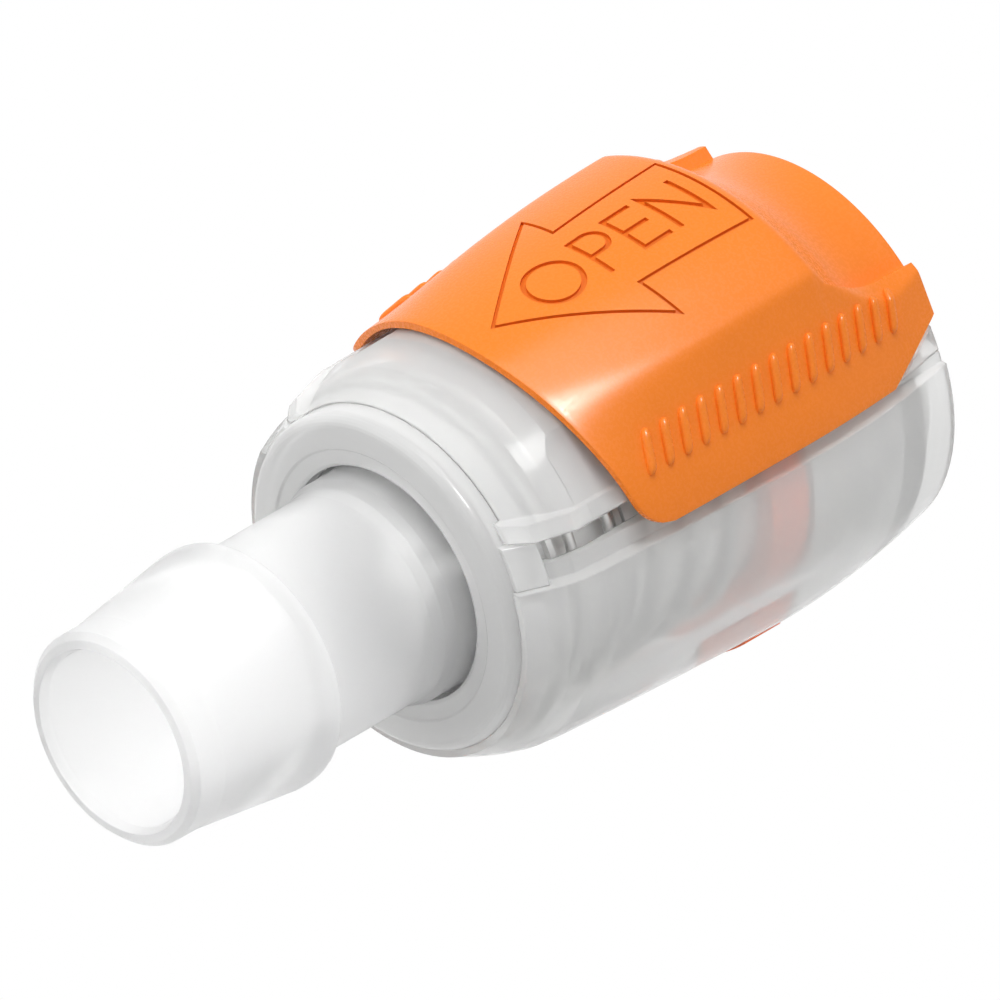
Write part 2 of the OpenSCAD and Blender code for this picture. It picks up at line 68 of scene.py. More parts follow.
class LatchSizes(bpy.types.PropertyGroup):
    """Sizes of the thumb latch"""

    crest_radius: FloatProperty(
        name="Crest radius", description="Radius of the deck's rear crest about the flow axis",
        default=0.02139, unit="LENGTH", subtype="DISTANCE", precision=5)
    lip_radius: FloatProperty(
        name="Lip radius", description="Radius of the front lip at the middle",
        default=0.0188, unit="LENGTH", subtype="DISTANCE", precision=5)
    scoop_radius: FloatProperty(
        name="Scoop radius", description="Radius of the thumb scoop at the rear end",
        default=0.01665, unit="LENGTH", subtype="DISTANCE", precision=5)
    skirt_radius: FloatProperty(
        name="Skirt radius", description="Largest radius of the side skirts",
        default=0.01935, unit="LENGTH", subtype="DISTANCE", precision=5)
    lip_place: FloatProperty(
        name="Lip place", description="Station of the front lip at the middle",
        default=-0.0393, unit="LENGTH", subtype="DISTANCE", precision=5)
    crest_place: FloatProperty(
        name="Crest place", description="Station of the deck's rear crest",
        default=-0.0109, unit="LENGTH", subtype="DISTANCE", precision=5)
    rear_place: FloatProperty(
        name="Rear place", description="Station of the latch's rear end",
        default=0.0005, unit="LENGTH", subtype="DISTANCE", precision=5)
    wall: FloatProperty(
        name="Wall", description="Thickness of the latch",
        default=0.0011, unit="LENGTH", subtype="DISTANCE", precision=5)
    ear_rise: FloatProperty(
        name="Ear rise", description="How far the ears stand over the thumb scoop",
        default=0.0006, unit="LENGTH", subtype="DISTANCE", precision=5)
    deck_flat: FloatProperty(
        name="Deck flatness",
        description="How much further out the deck lies at the crease than at the middle",
        default=0.0004, unit="LENGTH", subtype="DISTANCE", precision=5)
    crease_angle: FloatProperty(
        name="Crease angle", description="Angle from the top to the crease between deck and skirt",
        default=math.radians(35.5), unit="ROTATION", subtype="ANGLE")
    ear_turn: FloatProperty(
        name="Ear turn", description="How much further down the ears' top edge lies at the rear",
        default=math.radians(6), unit="ROTATION", subtype="ANGLE")
    skirt_angle: FloatProperty(
        name="Skirt angle", description="Angle from the top to the skirt's lower edge",
        default=math.radians(68.5), unit="ROTATION", subtype="ANGLE")
    groove_width: FloatProperty(
        name="Groove width", description="Width of the engraved arrow's line",
        default=0.00032, unit="LENGTH", subtype="DISTANCE", precision=5)
    stroke_width: FloatProperty(
        name="Stroke width", description="Width of the engraved letters' strokes",
        default=0.0005, unit="LENGTH", subtype="DISTANCE", precision=5)
    groove_depth: FloatProperty(
        name="Groove depth", description="Depth of the engraving",
        default=0.00028, unit="LENGTH", subtype="DISTANCE", precision=5)
    rib_count: IntProperty(
        name="Grip ribs", description="Number of raised grip ribs on each skirt",
        default=15, min=3, max=24)
    rib_width: FloatProperty(
        name="Rib width", description="Width of a grip rib",
        default=0.00095, unit="LENGTH", subtype="DISTANCE", precision=5)
    rib_height: FloatProperty(
        name="Rib height", description="How far a grip rib stands proud of the skirt",
        default=0.00048, unit="LENGTH", subtype="DISTANCE", precision=5)


class SpringSizes(bpy.types.PropertyGroup):
    """Sizes of the two wire coils"""

    latch_wire: FloatProperty(
        name="Latch wire", description="Radius of the latch spring's wire",
        default=0.00048, unit="LENGTH", subtype="DISTANCE", precision=5)
    latch_turns: FloatProperty(
        name="Latch turns", description="Turns of the latch spring", default=5, min=1)
    latch_start: FloatProperty(
        name="Latch start", description="Angle at which the latch spring's wire starts",
        default=math.radians(150), unit="ROTATION", subtype="ANGLE")
    poppet_wire: FloatProperty(
        name="Poppet wire", description="Radius of the poppet spring's wire",
        default=0.00035, unit="LENGTH", subtype="DISTANCE", precision=5)
    poppet_turns: FloatProperty(
        name="Poppet turns", description="Turns of the poppet spring", default=4.5, min=1)


class CouplingColours(bpy.types.PropertyGroup):
    """Colours of the coupling's plastics"""

    latch: FloatVectorProperty(
        name="Latch", description="Orange of the latch", size=3, subtype="COLOR",
        default=(0.98, 0.245, 0.022), min=0, max=1)
    # The groove colour is painted shade: a darker orange that stands in for the shade inside the engraved
    # grooves
    groove_painted_shade: FloatVectorProperty(
        name="Groove", description="Deeper orange inside the engraving", size=3, subtype="COLOR",
        default=(0.80, 0.17, 0.010), min=0, max=1)
    ring: FloatVectorProperty(
        name="Lock ring", description="Orange of the lock ring", size=3, subtype="COLOR",
        default=(0.90, 0.16, 0.02), min=0, max=1)
    shell: FloatVectorProperty(
        name="Shells", description="Frosted natural plastic", size=3, subtype="COLOR",
        default=(0.90, 0.90, 0.895), min=0, max=1)
    collar: FloatVectorProperty(
        name="Collar", description="Natural plastic of the front collar", size=3, subtype="COLOR",
        default=(0.96, 0.96, 0.955), min=0, max=1)
    barb: FloatVectorProperty(
        name="Barb", description="Natural plastic of the hose barb", size=3, subtype="COLOR",
        default=(1.0, 1.0, 1.0), min=0, max=1)
    white: FloatVectorProperty(
        name="Inner plastic", description="White plastic of the inner pieces", size=3, subtype="COLOR",
        default=(0.76, 0.76, 0.75), min=0, max=1)


class StudioSettings(bpy.types.PropertyGroup):
    """Camera and light"""

    azimuth: FloatProperty(
        name="Azimuth", description="Direction from which the camera looks",
        default=math.radians(-45.43), unit="ROTATION", subtype="ANGLE")
    elevation: FloatProperty(
        name="Elevation", description="Height of the camera above the horizon",
        default=math.radians(34.93), unit="ROTATION", subtype="ANGLE")
    picture_width: FloatProperty(
        name="Picture width", description="Width that the picture covers",
        default=0.08206, unit="LENGTH", subtype="DISTANCE", precision=5)
    aim_right: FloatProperty(
        name="Aim right", description="Place of the picture's centre to the right of the origin",
        default=-0.02496, unit="LENGTH", subtype="DISTANCE", precision=5)
    aim_up: FloatProperty(
        name="Aim up", description="Place of the picture's centre above the origin",
        default=-0.01317, unit="LENGTH", subtype="DISTANCE", precision=5)
    key_strength: FloatProperty(
        name="Key light", description="Strength of the light from above", default=1.75, min=0)
    gloss_strength: FloatProperty(
        name="Soft box", description="Strength of the soft box that shows in the highlights",
        default=5.5, min=0)
    front_strength: FloatProperty(
        name="Front light", description="Strength of the light from the barb's side", default=0.95, min=0)
    fill_strength: FloatProperty(
        name="Room light", description="Strength of the light from all round", default=0.44, min=0)


# Mesh helpers

def finish_mesh(bm, name, material, sharp_degrees=35):
    """Turns a bmesh in millimetres into an object in metres with smooth faces and sharp creases"""
    bmesh.ops.recalc_face_normals(bm, faces=bm.faces)
    mesh = bpy.data.meshes.new(name)
    for vertex in bm.verts:
        vertex.co *= MM
    bm.to_mesh(mesh)
    bm.free()
    piece = bpy.data.objects.new(name, mesh)
    bpy.context.scene.collection.objects.link(piece)
    mesh.materials.append(material)
    shade(mesh, sharp_degrees)
    return piece


def shade(mesh, sharp_degrees):
    """Smooth faces, with a crease at every edge that turns by more than the angle"""
    limit = math.radians(sharp_degrees)
    bm = bmesh.new()
    bm.from_mesh(mesh)
    for face in bm.faces:
        face.smooth = True
    for edge in bm.edges:
        edge.smooth = len(edge.link_faces) == 2 and edge.calc_face_angle(0) < limit
    bm.to_mesh(mesh)
    bm.free()


def apply_modifiers(piece):
    """Replaces a piece's mesh by what its modifiers make of it"""
    graph = bpy.context.evaluated_depsgraph_get()
    made = bpy.data.meshes.new_from_object(piece.evaluated_get(graph))
    piece.modifiers.clear()
    piece.data = made


def carve(piece, cutters):
    """Cuts each closed cutter out of a piece in turn, and gives the cut the cutter's material"""
    for cutter in cutters:
        cut = piece.modifiers.new("carve", "BOOLEAN")
        cut.operation = "DIFFERENCE"
        cut.solver = "MANIFOLD"
        cut.material_mode = "TRANSFER"
        cut.object = cutter
        apply_modifiers(piece)
        bpy.data.objects.remove(cutter, do_unlink=True)


def soften_edges(piece, width_mm, segments, degrees):
    """Rounds every edge that turns by more than the angle"""
    bevel = piece.modifiers.new("soft_edges", "BEVEL")
    bevel.limit_method = "ANGLE"
    bevel.angle_limit = math.radians(degrees)
    bevel.width = width_mm * MM
    bevel.segments = segments
    bevel.miter_outer = "MITER_ARC"
    apply_modifiers(piece)


# Materials

# Most of what a noise texture gives lies between these two values
NOISE_LOW, NOISE_HIGH = 0.3, 0.7


def principled(name):
    """A new node material with its shader and the coordinates that its textures use"""
    material = bpy.data.materials.new(name)
    material.use_nodes = True
    tree = material.node_tree
    shader = tree.nodes["Principled BSDF"]
    place = tree.nodes.new("ShaderNodeTexCoord")
    return material, tree, shader, place.outputs["Object"]


def noise(tree, place, scale, detail=3.0):
    """Procedural noise with a number of cells per metre"""
    texture = tree.nodes.new("ShaderNodeTexNoise")
    texture.inputs["Scale"].default_value = scale
    texture.inputs["Detail"].default_value = detail
    tree.links.new(place, texture.inputs["Vector"])
    return texture.outputs["Fac"]


def vary(tree, fac, low, high):
    """Noise brought between two values"""
    spread = tree.nodes.new("ShaderNodeMapRange")
    spread.inputs["From Min"].default_value = NOISE_LOW
    spread.inputs["From Max"].default_value = NOISE_HIGH
    spread.inputs["To Min"].default_value = low
    spread.inputs["To Max"].default_value = high
    tree.links.new(fac, spread.inputs["Value"])
    return spread.outputs["Result"]


def tint(tree, fac, colour, darker):
    """A colour that drifts slightly towards a darker one"""
    ramp = tree.nodes.new("ShaderNodeValToRGB")
    ramp.color_ramp.elements[0].position = NOISE_LOW
    ramp.color_ramp.elements[1].position = NOISE_HIGH
    ramp.color_ramp.elements[0].color = (*[c * darker for c in colour], 1)
    ramp.color_ramp.elements[1].color = (*colour, 1)
    tree.links.new(fac, ramp.inputs["Fac"])
    return ramp.outputs["Color"]


def grain(tree, shader, fac, strength, distance_mm=0.02):
    """Fine moulded texture on the surface"""
    bump = tree.nodes.new("ShaderNodeBump")
    bump.inputs["Strength"].default_value = strength
    bump.inputs["Distance"].default_value = distance_mm * MM
    tree.links.new(fac, bump.inputs["Height"])
    tree.links.new(bump.outputs["Normal"], shader.inputs["Normal"])


def round_off(tree, shader, radius_mm):
    """Shades the edges of a CAD solid as if they were rounded"""
    edge = tree.nodes.new("ShaderNodeBevel")
    edge.samples = 6
    edge.inputs["Radius"].default_value = radius_mm * MM
    tree.links.new(edge.outputs["Normal"], shader.inputs["Normal"])


def moulded_plastic(name, colour, roughness, texture=0.25, gloss=0.5):
    """Opaque moulded plastic with a fine grain"""
    material, tree, shader, place = principled(name)
    cloud = noise(tree, place, scale=120)
    fine = noise(tree, place, scale=3500, detail=2)
    spread = 0.04
    tree.links.new(tint(tree, cloud, colour, darker=0.97), shader.inputs["Base Color"])
    tree.links.new(vary(tree, fine, roughness - spread, roughness + spread), shader.inputs["Roughness"])
    shader.inputs["Specular IOR Level"].default_value = gloss
    grain(tree, shader, fine, texture)
    return material


def frosted_plastic(name, colour, roughness, clearness, ior, gloss, rounding_mm):
    """Translucent natural plastic, milky inside and frosted on its surface"""
    material, tree, shader, place = principled(name)
    cloud = noise(tree, place, scale=60, detail=2)
    spread = 0.02
    tree.links.new(tint(tree, cloud, colour, darker=0.985), shader.inputs["Base Color"])
    tree.links.new(vary(tree, cloud, roughness - spread, roughness + spread), shader.inputs["Roughness"])
    shader.inputs["Transmission Weight"].default_value = clearness
    shader.inputs["IOR"].default_value = ior
    shader.inputs["Specular IOR Level"].default_value = gloss
    round_off(tree, shader, rounding_mm)
    return material


def spring_steel(name):
    """Drawn stainless wire"""
    material, tree, shader, place = principled(name)
    drawn = noise(tree, place, scale=5000, detail=2)
    bright_grey = (0.60, 0.60, 0.59)
    tree.links.new(tint(tree, drawn, bright_grey, darker=0.92), shader.inputs["Base Color"])
    tree.links.new(vary(tree, drawn, low=0.38, high=0.5), shader.inputs["Roughness"])
    shader.inputs["Metallic"].default_value = 1.0
    return material


def seal_rubber(name):
    """Black moulded rubber"""
    material, tree, shader, place = principled(name)
    dust = noise(tree, place, scale=1800, detail=4)
    soot = (0.035, 0.035, 0.037)
    tree.links.new(tint(tree, dust, soot, darker=0.7), shader.inputs["Base Color"])
    tree.links.new(vary(tree, dust, low=0.5, high=0.65), shader.inputs["Roughness"])
    grain(tree, shader, dust, strength=0.3)
    return material


def dress(node, material):
    """Gives a CAD node its material"""
    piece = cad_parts[node]
    piece.data.materials.clear()
    piece.data.materials.append(material)


# The latch

def part_way(x, start, length):
    """How far a place lies along a stretch, from 0 at its start to 1 at its end"""
    return max(0.0, min(1.0, (x - start) / length))


class LatchForm:
    """The latch's surfaces in millimetres: a radius for each station and angle from the top"""

    # Powers of the deck's fall to the lip and of the scoop's fall to the rear, and the crest's sharpness
    deck_power, scoop_power, crest_sharpness = 2.2, 2.7, 3.5
    # Sharpness of the crease at the lip, and what it gains towards the crest
    lip_crease, crease_gain = 2, 14
    # The skirts are widest at the belly, and draw in from there to the front and to the rear
    belly_x, front_reach = -17.0, 22
    front_draw, front_power = 0.5, 1.6
    rear_draw, rear_power = 2.1, 1.7
    # The crease counts as at least this much outside the skirt's radius
    least_step = 0.01
    # Stretches behind the crest in which the ears turn down and rise, and their slope for each degree
    ear_turn_run, ear_rise_run, ear_slope = 8, 3, 0.1
    # The inside keeps clear of the shells up to a little before the crest, where the even wall starts
    inside_radius, deck_wall, even_wall_run = 18.15, 1.6, 3
    # Degrees outwards in which the inside comes to follow the ears' rise
    ear_inside_run = 5
    # The front edge's bow in plan, and the rounding of the skirts' front corners
    front_bow, corner_length, corner_degrees = 43, 2.6, 9
    # The skirts' rear corners are cut off from this angle down
    rear_cut, rear_cut_angle = 7.2, 57

    def __init__(self, sizes):
        self.crest = sizes.crest_radius / MM
        self.lip = sizes.lip_radius / MM
        self.scoop = sizes.scoop_radius / MM
        self.skirt_most = sizes.skirt_radius / MM
        self.lip_x = sizes.lip_place / MM
        self.crest_x = sizes.crest_place / MM
        self.rear_x = sizes.rear_place / MM
        self.wall = sizes.wall / MM
        self.ear_rise = sizes.ear_rise / MM
        self.deck_flat = sizes.deck_flat / MM
        self.crease = math.degrees(sizes.crease_angle)
        self.ear_turn = math.degrees(sizes.ear_turn)
        self.skirt_end = math.degrees(sizes.skirt_angle)

    @staticmethod
    def soft_min(p, q, sharpness):
        """A rounded minimum of two radii, worked out about a radius near both of them"""
        near = 20
        both = math.exp(-sharpness * (p - near)) + math.exp(-sharpness * (q - near))
        return near - math.log(both) / sharpness

    def deck(self, x):
        """Radius along the middle of the top, where the deck rolls over into the thumb scoop"""
        back = max(0.0, (self.crest_x - x) / (self.crest_x - self.lip_x))
        run = min(1.0, (x - self.crest_x) / (self.rear_x - self.crest_x))
        rise = self.crest - (self.crest - self.lip) * back ** self.deck_power
        fall = self.scoop + (self.crest - self.scoop) * (1 - run) ** self.scoop_power
        return self.soft_min(rise, fall, self.crest_sharpness)

    def skirt(self, x):
        """Radius of the skirts, which are widest at the belly"""
        if x < self.belly_x:
            ahead = (self.belly_x - x) / self.front_reach
            return self.skirt_most - self.front_draw * ahead ** self.front_power
        behind = (x - self.belly_x) / (self.rear_x - self.belly_x)
        return self.skirt_most - self.rear_draw * behind ** self.rear_power

    def edge(self, x):
        """Angle from the top to the crease, and behind the crest to the ears' top edge"""
        run = part_way(x, self.crest_x, self.ear_turn_run)
        return self.crease + self.ear_turn * (1 - (1 - run) ** 2)

    def flank(self, x, angle):
        """Radius of the flat side that leads from the crease down to the round of the skirt"""
        station = min(x, self.crest_x)
        round_r = self.skirt(station)
        crease_r = max(self.deck(station), round_r + self.least_step)
        tangent = self.crease + math.degrees(math.acos(round_r / crease_r))
        return self.skirt(x) / math.cos(math.radians(max(tangent - angle, 0)))

    def radius(self, x, angle, share=1.0):
        """Outer radius, with the ears risen by a share"""
        angle = abs(angle)
        run = part_way(x, self.lip_x, self.crest_x - self.lip_x)
        behind = part_way(x, self.crest_x, self.ear_rise_run)
        bulge = self.deck_flat * run * (angle / self.crease) ** 2
        outside = angle - self.edge(x)
        if outside > 0:
            lift = share * self.ear_rise * behind * (1 + self.ear_slope * outside)
        else:
            lift = -bulge * behind
        sharpness = self.lip_crease + self.crease_gain * run * run
        return self.soft_min(self.deck(x) + bulge + lift, self.flank(x, angle), sharpness)

    def inner(self, x, angle):
        """Inner radius, a wall's thickness inside the outer face"""
        if x < self.crest_x - self.even_wall_run:
            return max(self.inside_radius, self.radius(x, angle) - self.deck_wall)
        share = min(1.0, max(0.0, abs(angle) - self.edge(x)) / self.ear_inside_run)
        return self.radius(x, angle, share) - self.wall

    def front(self, angle):
        """Station of the front edge at an angle, which bows back to the rounded corners of the skirts"""
        y = self.lip * math.sin(math.radians(angle))
        bow = self.front_bow - math.sqrt(self.front_bow * self.front_bow - y * y)
        turn = max(0, (abs(angle) - self.skirt_end + self.corner_degrees) / self.corner_degrees)
        corner = self.corner_length * (1 - math.sqrt(max(0, 1 - turn * turn)))
        return self.lip_x + bow + corner

    def rear(self, angle):
        """Station of the rear edge at an angle"""
        down = max(0, (abs(angle) - self.rear_cut_angle) / (self.skirt_end - self.rear_cut_angle))
        return self.rear_x - self.rear_cut * down

    def height(self, x, y):
        """Height of the outer surface over a point in plan, which each round brings closer"""
        rounds = 6
        z = self.deck(x)
        for _ in range(rounds):
            r = self.radius(x, math.degrees(math.atan2(y, z)))
            z = math.sqrt(max(r * r - y * y, 1))
        return z


class LatchGrid:
    """Rows across the latch, and the stations along each of them"""

    deck_rows, skirt_rows = 32, 30
    front_steps, rear_steps = 70, 50
    # Powers that crowd the stations towards the crest from both sides
    front_crowd, rear_crowd = 0.9, 1.15
    # Degrees from the crease to the rows on each side of it
    crease_gap = 0.2

    def __init__(self, form):
        self.form = form
        most = self.deck_rows + 1 + self.skirt_rows
        self.rows = range(-most, most + 1)

    def angle(self, row, edge):
        """Rows on the deck end just inside the crease, and the skirt's rows start just outside it"""
        place = abs(row)
        if place <= self.deck_rows:
            angle = (edge - self.crease_gap) * place / self.deck_rows
        else:
            down = (place - self.deck_rows - 1) / self.skirt_rows
            angle = edge + self.crease_gap + (self.form.skirt_end - edge - self.crease_gap) * down
        return math.copysign(angle, row)

    def stations(self, row):
        """Stations along a row, from the front edge over the crest to the rear edge"""
        form = self.form
        start = form.front(self.angle(row, form.crease))
        end = form.rear(self.angle(row, form.crease + form.ear_turn))
        to_crest = [
            start + (form.crest_x - start) * (i / self.front_steps) ** self.front_crowd
            for i in range(self.front_steps)
        ]
        to_rear = [
            form.crest_x + (end - form.crest_x) * (i / self.rear_steps) ** self.rear_crowd
            for i in range(self.rear_steps + 1)
        ]
        return to_crest + to_rear

    def line(self, row, surface):
        """Points of a surface along one row"""
        points = []
        for x in self.stations(row):
            angle = self.angle(row, self.form.edge(x))
            r = surface(x, angle)
            a = math.radians(angle)
            points.append((x, r * math.sin(a), r * math.cos(a)))
        return points


def latch_shell(form, material):
    """The latch's saddle as one closed shell"""
    grid = LatchGrid(form)
    bm = bmesh.new()
    outer, inner = [
        [[bm.verts.new(point) for point in grid.line(row, surface)] for row in grid.rows]
        for surface in (form.radius, form.inner)
    ]
    last = len(outer[0]) - 1
    for j in range(len(outer) - 1):
        for i in range(last):
            bm.faces.new((outer[j][i], outer[j][i + 1], outer[j + 1][i + 1], outer[j + 1][i]))
            bm.faces.new((inner[j][i], inner[j + 1][i], inner[j + 1][i + 1], inner[j][i + 1]))
        for i in (0, last):
            bm.faces.new((outer[j][i], outer[j + 1][i], inner[j + 1][i], inner[j][i]))
    for j in (0, len(outer) - 1):
        for i in range(last):
            bm.faces.new((outer[j][i], outer[j][i + 1], inner[j][i + 1], inner[j][i]))
    return finish_mesh(bm, "latch_saddle", material, sharp_degrees=40)


def finely(points, step):
    """A path with extra points so that no stretch is longer than the step"""
    made = []
    for a, b in zip(points, points[1:]):
        count = max(1, math.ceil((b - a).length / step))
        made += [a.lerp(b, i / count) for i in range(count)]
    return made + [points[-1]]


def groove_cutter(form, points, width, depth, material, closed=False):
    """A bar of even width that follows the latch's surface along a path in plan"""
    longest_stretch, above, least_mitre = 0.7, 0.4, 0.35
    path = [Vector(p) for p in points]
    if closed:
        path.append(path[0])
    path = finely(path, longest_stretch)
    if closed:
        path.pop()
    count = len(path)
    bm = bmesh.new()
    rings = []
    for i, point in enumerate(path):
        before = path[i - 1] if i or closed else point
        after = path[(i + 1) % count] if i < count - 1 or closed else point
        way_in = (point - before).normalized() if point != before else (after - point).normalized()
        way_out = (after - point).normalized() if point != after else way_in
        across = Vector((-way_in.y - way_out.y, way_in.x + way_out.x)).normalized()
        reach = width / 2 / max(least_mitre, across.dot(Vector((-way_in.y, way_in.x))))
        if not closed and i == 0:
            point = point - way_out * width / 2
        if not closed and i == count - 1:
            point = point + way_in * width / 2
        ring = []
        for side, lift in ((1, above), (-1, above), (-1, -depth), (1, -depth)):
            spot = point + across * reach * side
            ring.append(bm.verts.new((spot.x, spot.y, form.height(spot.x, spot.y) + lift)))
        rings.append(ring)
    stretch = count if closed else count - 1
    for i in range(stretch):
        a, b = rings[i], rings[(i + 1) % count]
        for k in range(4):
            bm.faces.new((a[k], a[(k + 1) % 4], b[(k + 1) % 4], b[k]))
    if not closed:
        bm.faces.new(rings[0])
        bm.faces.new(list(reversed(rings[-1])))
    return finish_mesh(bm, "groove_cutter", material)


def arc(cx, cy, rx, ry, start, end, steps):
    """Points along part of an ellipse in plan"""
    span = [start + (end - start) * i / steps for i in range(steps + 1)]
    return [(cx + rx * math.cos(math.radians(a)), cy + ry * math.sin(math.radians(a))) for a in span]


def arrow_outline():
    """The arrow that points towards the barb, the way the latch slides"""
    tip_x, wing_x, notch_x, tail_x = -36.4, -23.7, -24.3, -11.8
    wing_y, neck_y, tail_y = 9.1, 5.0, 5.54
    side = [(tip_x, 0), (wing_x, -wing_y), (notch_x, -neck_y), (tail_x, -tail_y)]
    return side + [(x, -y) for x, y in reversed(side[1:])]


def open_strokes():
    """Strokes of the word OPEN, read from the -Y side, each with whether it is a closed ring"""
    low, high, middle = -2.5, 2.5, 0.0
    o_middle, o_half = -29.3, 2.55
    p_left, p_inside, p_turn, p_foot = -25.1, -24.9, -23.6, -0.2
    e_left, e_right, e_inset = -21.1, -18.3, 0.3
    n_left, n_right = -17.0, -13.5
    o_ring = arc(o_middle, middle, o_half, high, start=0, end=354, steps=59)
    p_stem = [(p_left, low), (p_left, high)]
    p_round = arc(p_turn, 1.15, 1.3, 1.35, start=80, end=-80, steps=12)
    p_bowl = [(p_inside, high), (p_turn, high)] + p_round + [(p_turn, p_foot), (p_inside, p_foot)]
    e_frame = [(e_right, high), (e_left, high), (e_left, low), (e_right, low)]
    e_bar = [(e_left + e_inset, middle), (e_right - e_inset, middle)]
    n_line = [(n_left, low), (n_left, high), (n_right, low), (n_right, high)]
    return [(o_ring, True)] + [(line, False) for line in (p_stem, p_bowl, e_frame, e_bar, n_line)]


def grip_rib(form, bm, x, side, width, height):
    """One slanted, round-topped rib on a skirt, whose foot is sunk a little into the latch"""
    low_angle, high_angle, slant, sunk = 55.5, 44.0, 1.2, 0.1
    end_power, side_power = 6, 0.6
    steps, around = 24, 14
    rings = []
    for i in range(steps + 1):
        t = i / steps
        angle = low_angle + (high_angle - low_angle) * t
        along = x + slant * t
        swell = math.sqrt(max(0.0, 1 - (2 * t - 1) ** end_power))
        ring = []
        for k in range(around + 1):
            turn = math.pi * k / around
            offset = width / 2 * swell * math.cos(turn)
            rise = (height + sunk) * swell * math.sin(turn) ** side_power
            r = form.radius(along + offset, angle) + rise - sunk
            a = math.radians(angle) * side
            ring.append(bm.verts.new((along + offset, r * math.sin(a), r * math.cos(a))))
        rings.append(ring)
    for a, b in zip(rings, rings[1:]):
        for k in range(around):
            bm.faces.new((a[k], a[k + 1], b[k + 1], b[k]))
        bm.faces.new((a[around], a[0], b[0], b[around]))
    bm.faces.new(rings[0])
    bm.faces.new(list(reversed(rings[-1])))


class COUPLING_OT_latch(bpy.types.Operator):
    """Build the orange thumb latch with its engraved arrow and grip ribs"""

    bl_idname = "coupling.latch"
    bl_label = "Thumb latch"

    def execute(self, context):
        sizes, colours = context.scene.latch_sizes, context.scene.coupling_colours
        form = LatchForm(sizes)
        orange = moulded_plastic("latch_orange", colours.latch, roughness=0.27, texture=0.03, gloss=0.22)
        # The engraving's material is painted shade: its darker orange stands in for the shade inside the
        # grooves
        engraving_painted_shade = moulded_plastic("latch_engraving_painted_shade", colours.groove_painted_shade, roughness=0.5, texture=0.05, gloss=0.16)
        saddle = latch_shell(form, orange)
        soften_edges(saddle, width_mm=0.22, segments=3, degrees=55)
        depth = sizes.groove_depth / MM
        line, stroke = sizes.groove_width / MM, sizes.stroke_width / MM
        cutters = [groove_cutter(form, arrow_outline(), line, depth, engraving_painted_shade, closed=True)]
        for points, closed in open_strokes():
            cutters.append(groove_cutter(form, points, stroke, depth, engraving_painted_shade, closed))
        carve(saddle, cutters)
        shade(saddle.data, sharp_degrees=32)
        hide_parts("latch")
        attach(saddle, SLIDER)

        bm = bmesh.new()
        first_x, last_x = -33.6, -4.8
        for side in (1, -1):
            for i in range(sizes.rib_count):
                x = first_x + (last_x - first_x) * i / (sizes.rib_count - 1)
                grip_rib(form, bm, x, side, sizes.rib_width / MM, sizes.rib_height / MM)
        ribs = finish_mesh(bm, "latch_grip_ribs", orange, sharp_degrees=50)
        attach(ribs, SLIDER)
        return {"FINISHED"}


# The shells, the barb and the inner pieces

class COUPLING_OT_shells(bpy.types.Operator):
    """Give the two housing shells and the front collar their frosted plastic"""

    bl_idname = "coupling.shells"
    bl_label = "Housing shells"

    def execute(self, context):
        colours = context.scene.coupling_colours
        frosted = frosted_plastic(
            "shell_frosted", colours.shell,
            roughness=0.14, clearness=0.6, ior=1.14, gloss=0.12, rounding_mm=0.25)
        milky = frosted_plastic(
            "collar_frosted", colours.collar,
            roughness=0.18, clearness=0.3, ior=1.3, gloss=0.5, rounding_mm=0.15)
        for node in ("upper_shell", "lower_shell"):
            dress(node, frosted)
        dress("front_collar", milky)
        return {"FINISHED"}


class COUPLING_OT_barb(bpy.types.Operator):
    """Give the hose barb its translucent plastic"""

    bl_idname = "coupling.barb"
    bl_label = "Hose barb"

    def execute(self, context):
        natural = frosted_plastic(
            "barb_natural", context.scene.coupling_colours.barb,
            roughness=0.3, clearness=0.66, ior=1.25, gloss=0.5, rounding_mm=0.12)
        dress("hose_barb", natural)
        return {"FINISHED"}


class COUPLING_OT_lock(bpy.types.Operator):
    """Give the lock ring its orange plastic"""

    bl_idname = "coupling.lock"
    bl_label = "Lock ring"

    def execute(self, context):
        orange = moulded_plastic("ring_orange", context.scene.coupling_colours.ring, roughness=0.45)
        dress("lock_ring", orange)
        return {"FINISHED"}


class COUPLING_OT_socket(bpy.types.Operator):
    """Dress the socket's collet, guide ring and seal seats"""

    bl_idname = "coupling.socket"
    bl_label = "Socket"

    def execute(self, context):
        white = moulded_plastic("inner_white", context.scene.coupling_colours.white, roughness=0.4)
        for node in ("rear_ring", "collet", "backup_ring", "seal_retainer"):
            dress(node, white)
        return {"FINISHED"}


class COUPLING_OT_valve(bpy.types.Operator):
    """Dress the valve body, the spring's washer, the poppet and its guide"""

    bl_idname = "coupling.valve"
    bl_label = "Valve"

    def execute(self, context):
        colours = context.scene.coupling_colours
        body = moulded_plastic("valve_white", colours.white, roughness=0.4)
        for node in ("valve_body", "spring_washer"):
            dress(node, body)
        slightly_darker = [c * 0.95 for c in colours.white]
        pale = moulded_plastic("poppet_pale", slightly_darker, roughness=0.35)
        for node in ("poppet", "poppet_guide"):
            dress(node, pale)
        return {"FINISHED"}


# The springs, the clip and the seals

